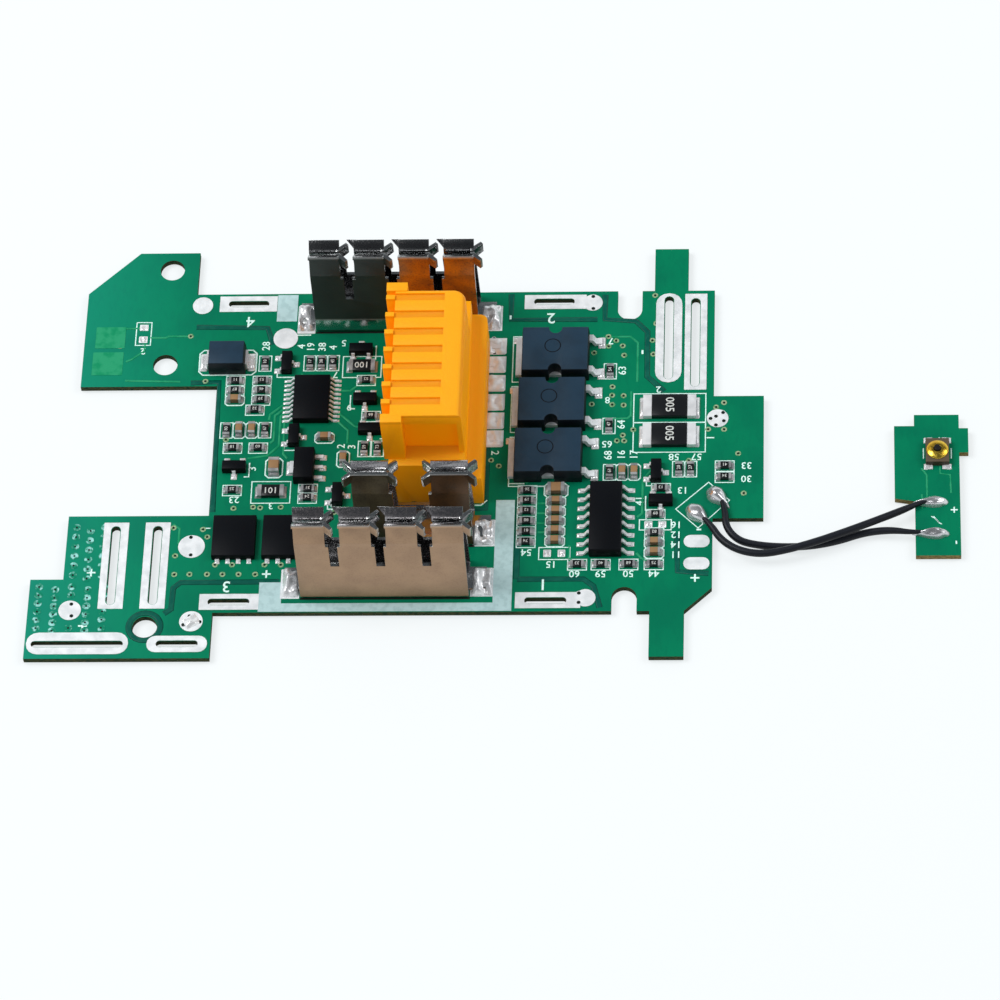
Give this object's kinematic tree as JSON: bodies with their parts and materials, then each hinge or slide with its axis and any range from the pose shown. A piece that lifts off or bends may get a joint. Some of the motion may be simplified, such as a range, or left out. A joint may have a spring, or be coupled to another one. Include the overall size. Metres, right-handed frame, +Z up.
{
  "type": "battery management board",
  "caption": "Battery management circuit board with folded spring blade clips, a signal connector, power transistors, chips and a push switch board on short leads.",
  "frame": {"origin": "middle of the whole assembly's footprint, on the boards' underside", "axes": "+X along the pack towards the switch board, +Y towards the rear edge, +Z up from the underside to the component side"},
  "size_m": [0.1118, 0.0588, 0.0169],
  "materials": {
    "solder_mask": "green lacquer over copper, semi-gloss",
    "contact_metal": "bright tin plate on copper alloy sheet",
    "connector_plastic": "moulded, satin",
    "power_moulding": "moulding compound, fine matt",
    "moulding": "moulding compound, fine matt",
    "tinned_metal": "bright tin plate",
    "resistor_ceramic": "dark overglaze",
    "capacitor_ceramic": "fired ceramic, matt",
    "lead_insulation": "soft, slightly shiny",
    "solder": "bright solder",
    "gold_plate": "gold plate, satin",
    "button_plastic": "moulded, satin",
    "spring_steel": "rolled spring steel"
  },
  "bodies": {
    "boards": {"main_board": "solder_mask", "switch_board": "solder_mask", "positive_clip": "contact_metal", "charge_clip": "contact_metal", "negative_clip": "contact_metal", "connector_housing": "connector_plastic", "connector_contacts": "contact_metal", "power_transistor_1_body": "power_moulding", "power_transistor_1_frame": "tinned_metal", "power_transistor_2_body": "power_moulding", "power_transistor_2_frame": "tinned_metal", "power_transistor_3_body": "power_moulding", "power_transistor_3_frame": "tinned_metal", "flat_transistor_1_body": "moulding", "flat_transistor_1_pins": "tinned_metal", "flat_transistor_2_body": "moulding", "flat_transistor_2_pins": "tinned_metal", "controller_chip_body": "moulding", "controller_chip_pins": "tinned_metal", "balance_chip_body": "moulding", "balance_chip_pins": "tinned_metal", "protection_diode_body": "moulding", "protection_diode_ends": "tinned_metal", "shunt_1_body": "resistor_ceramic", "shunt_1_ends": "tinned_metal", "shunt_2_body": "resistor_ceramic", "shunt_2_ends": "tinned_metal", "regulator_body": "moulding", "regulator_pins": "tinned_metal", "small_transistor_bodies": "moulding", "small_transistor_pins": "tinned_metal", "controller_resistor_bodies": "resistor_ceramic", "controller_resistor_ends": "tinned_metal", "balance_resistor_bodies": "resistor_ceramic", "balance_resistor_ends": "tinned_metal", "sense_resistor_bodies": "resistor_ceramic", "sense_resistor_ends": "tinned_metal", "large_resistor_bodies": "resistor_ceramic", "large_resistor_ends": "tinned_metal", "controller_capacitor_bodies": "capacitor_ceramic", "controller_capacitor_ends": "tinned_metal", "filter_capacitor_bodies": "capacitor_ceramic", "filter_capacitor_ends": "tinned_metal", "large_capacitor_bodies": "capacitor_ceramic", "large_capacitor_ends": "tinned_metal", "button_base": "button_plastic", "button_cover": "gold_plate", "button_dome": "spring_steel", "button_legs": "tinned_metal", "main_board_joints": "solder", "switch_board_joints": "solder", "positive_lead": "lead_insulation", "negative_lead": "lead_insulation"},
    "plunger": {"button_plunger": "button_plastic"}
  },
  "joints": [
    {"name": "button_press", "type": "slide", "parent": "boards", "child": "plunger", "axis": [0, 0, -1], "range_m": [0, 0.0002], "stiffness_N_per_m": 100, "deforming": ["button_dome"]}
  ]
}
